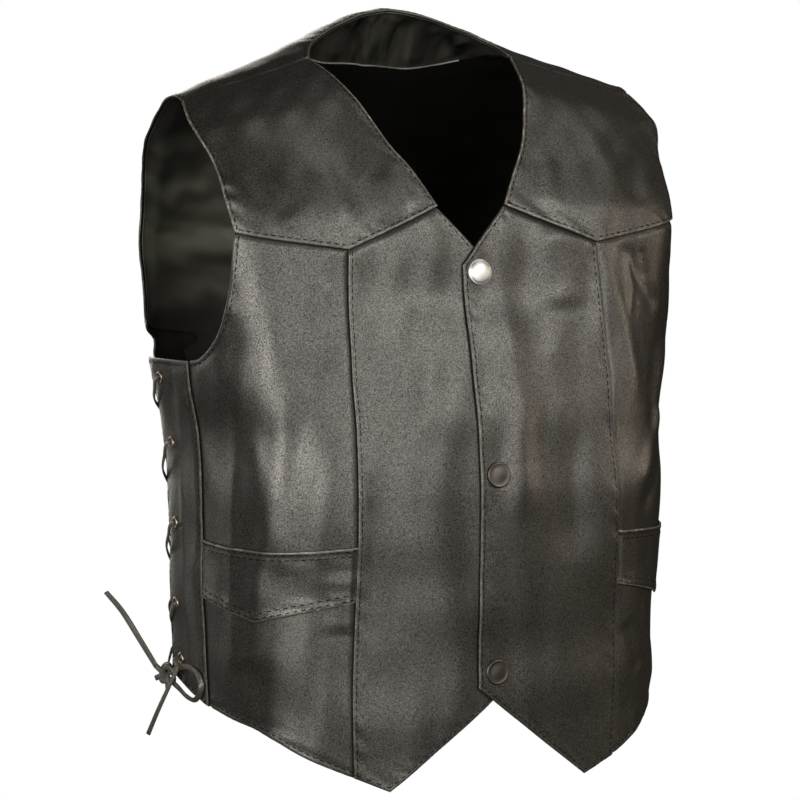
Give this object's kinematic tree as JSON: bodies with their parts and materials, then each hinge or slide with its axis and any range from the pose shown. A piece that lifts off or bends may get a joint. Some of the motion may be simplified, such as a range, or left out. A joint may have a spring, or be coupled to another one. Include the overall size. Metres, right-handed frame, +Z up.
{
  "type": "leather vest",
  "caption": "Hip-length sleeveless leather vest with a V neck, pointed front hems, pointed front yokes, snap closure, false pocket bands and laced side gaps.",
  "frame": {"origin": "midway between the neck ends of the two shoulder seams, where the wearer's shoulders carry the vest", "axes": "+Z up, the front faces -Y, +X to the wearer's left"},
  "size_m": [0.3768, 0.2138, 0.5009],
  "materials": {
    "black_leather": "finely pebbled charcoal-black leather with a soft sheen",
    "dark_satin": "dark grey-green satin lining",
    "nickel": "brushed nickel-coloured snap caps, the top one brighter",
    "bronze": "dull bronze eyelets",
    "leather_thong": "flat grey-green leather lace, matt"
  },
  "bodies": {
    "root": {"front_yoke_left": "black_leather", "centre_front_left": "black_leather", "side_front_left": "black_leather", "pocket_band_left": "black_leather", "lace_strip_left": "black_leather", "front_yoke_right": "black_leather", "centre_front_right": "black_leather", "side_front_right": "black_leather", "pocket_band_right": "black_leather", "lace_strip_right": "black_leather", "back": "black_leather", "back_neck_facing": "dark_satin", "back_lining": "dark_satin", "snap_cap_1": "nickel", "snap_cap_2": "nickel", "snap_cap_3": "nickel", "eyelet_front_left_1": "bronze", "eyelet_front_left_2": "bronze", "eyelet_front_left_3": "bronze", "eyelet_front_left_4": "bronze", "eyelet_front_left_5": "bronze", "eyelet_front_right_1": "bronze", "eyelet_front_right_2": "bronze", "eyelet_front_right_3": "bronze", "eyelet_front_right_4": "bronze", "eyelet_front_right_5": "bronze", "eyelet_back_left_1": "bronze", "eyelet_back_left_2": "bronze", "eyelet_back_left_3": "bronze", "eyelet_back_left_4": "bronze", "eyelet_back_left_5": "bronze", "eyelet_back_right_1": "bronze", "eyelet_back_right_2": "bronze", "eyelet_back_right_3": "bronze", "eyelet_back_right_4": "bronze", "eyelet_back_right_5": "bronze", "lacing_left": "leather_thong", "lacing_right": "leather_thong", "knot_left": "leather_thong", "knot_right": "leather_thong", "lace_loop_left": "leather_thong", "lace_loop_right": "leather_thong", "lace_tail_upper_left": "leather_thong", "lace_tail_upper_right": "leather_thong", "lace_tail_lower_left": "leather_thong", "lace_tail_lower_right": "leather_thong"}
  },
  "joints": []
}
